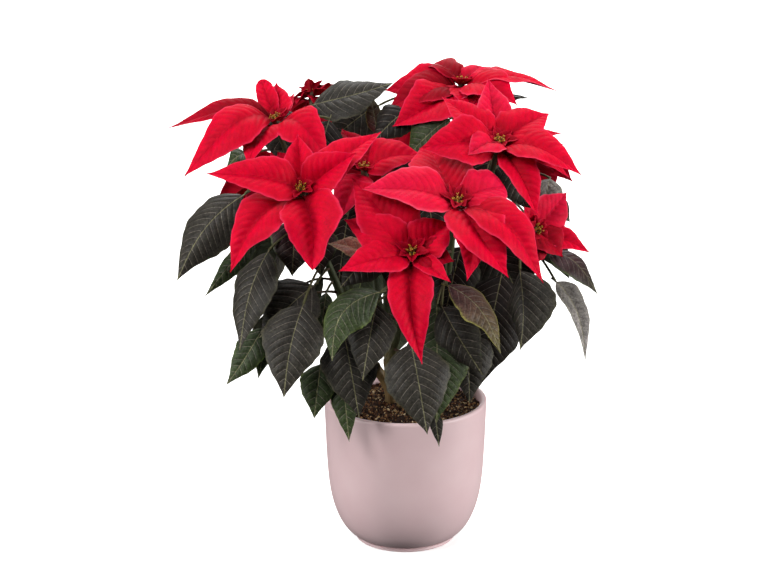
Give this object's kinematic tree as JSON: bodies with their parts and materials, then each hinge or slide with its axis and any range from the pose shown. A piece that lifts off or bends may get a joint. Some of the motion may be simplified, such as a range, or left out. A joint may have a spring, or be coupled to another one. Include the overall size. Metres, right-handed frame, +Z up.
{
  "type": "potted poinsettia",
  "caption": "Poinsettia with whorls of red bracts and dark green leaves, grown as leafy cuttings in a round blush ceramic pot.",
  "frame": {"origin": "middle of the pot's flat foot, where it rests", "axes": "+Z up along the pot's axis, -Y towards the front of the plant as pictured, +X to the right of that view"},
  "size_m": [0.3902, 0.3103, 0.4298],
  "materials": {
    "pot": "matt blush glazed ceramic",
    "soil": "loose dark potting mix",
    "leaf": "satin dark green leaf and stem",
    "bract": "velvety red coloured leaf",
    "cyathia": "waxy yellow-green flower cup"
  },
  "bodies": {
    "root": {"pot": "pot", "soil": "soil", "cutting_left": "leaf", "cutting_middle": "leaf", "cutting_right": "leaf", "bracts_far_left": "bract", "bracts_left_front": "bract", "bracts_inner": "bract", "bracts_crown": "bract", "bracts_upper_right": "bract", "bracts_right_front": "bract", "bracts_front_low": "bract", "bracts_right_side": "bract", "bracts_left_back": "bract", "bracts_back_middle": "bract", "bracts_back_right": "bract", "bracts_back_left": "bract", "cyathia_far_left": "cyathia", "cyathia_left_front": "cyathia", "cyathia_inner": "cyathia", "cyathia_crown": "cyathia", "cyathia_upper_right": "cyathia", "cyathia_right_front": "cyathia", "cyathia_front_low": "cyathia", "cyathia_right_side": "cyathia", "cyathia_left_back": "cyathia", "cyathia_back_middle": "cyathia", "cyathia_back_right": "cyathia", "cyathia_back_left": "cyathia"}
  },
  "joints": []
}
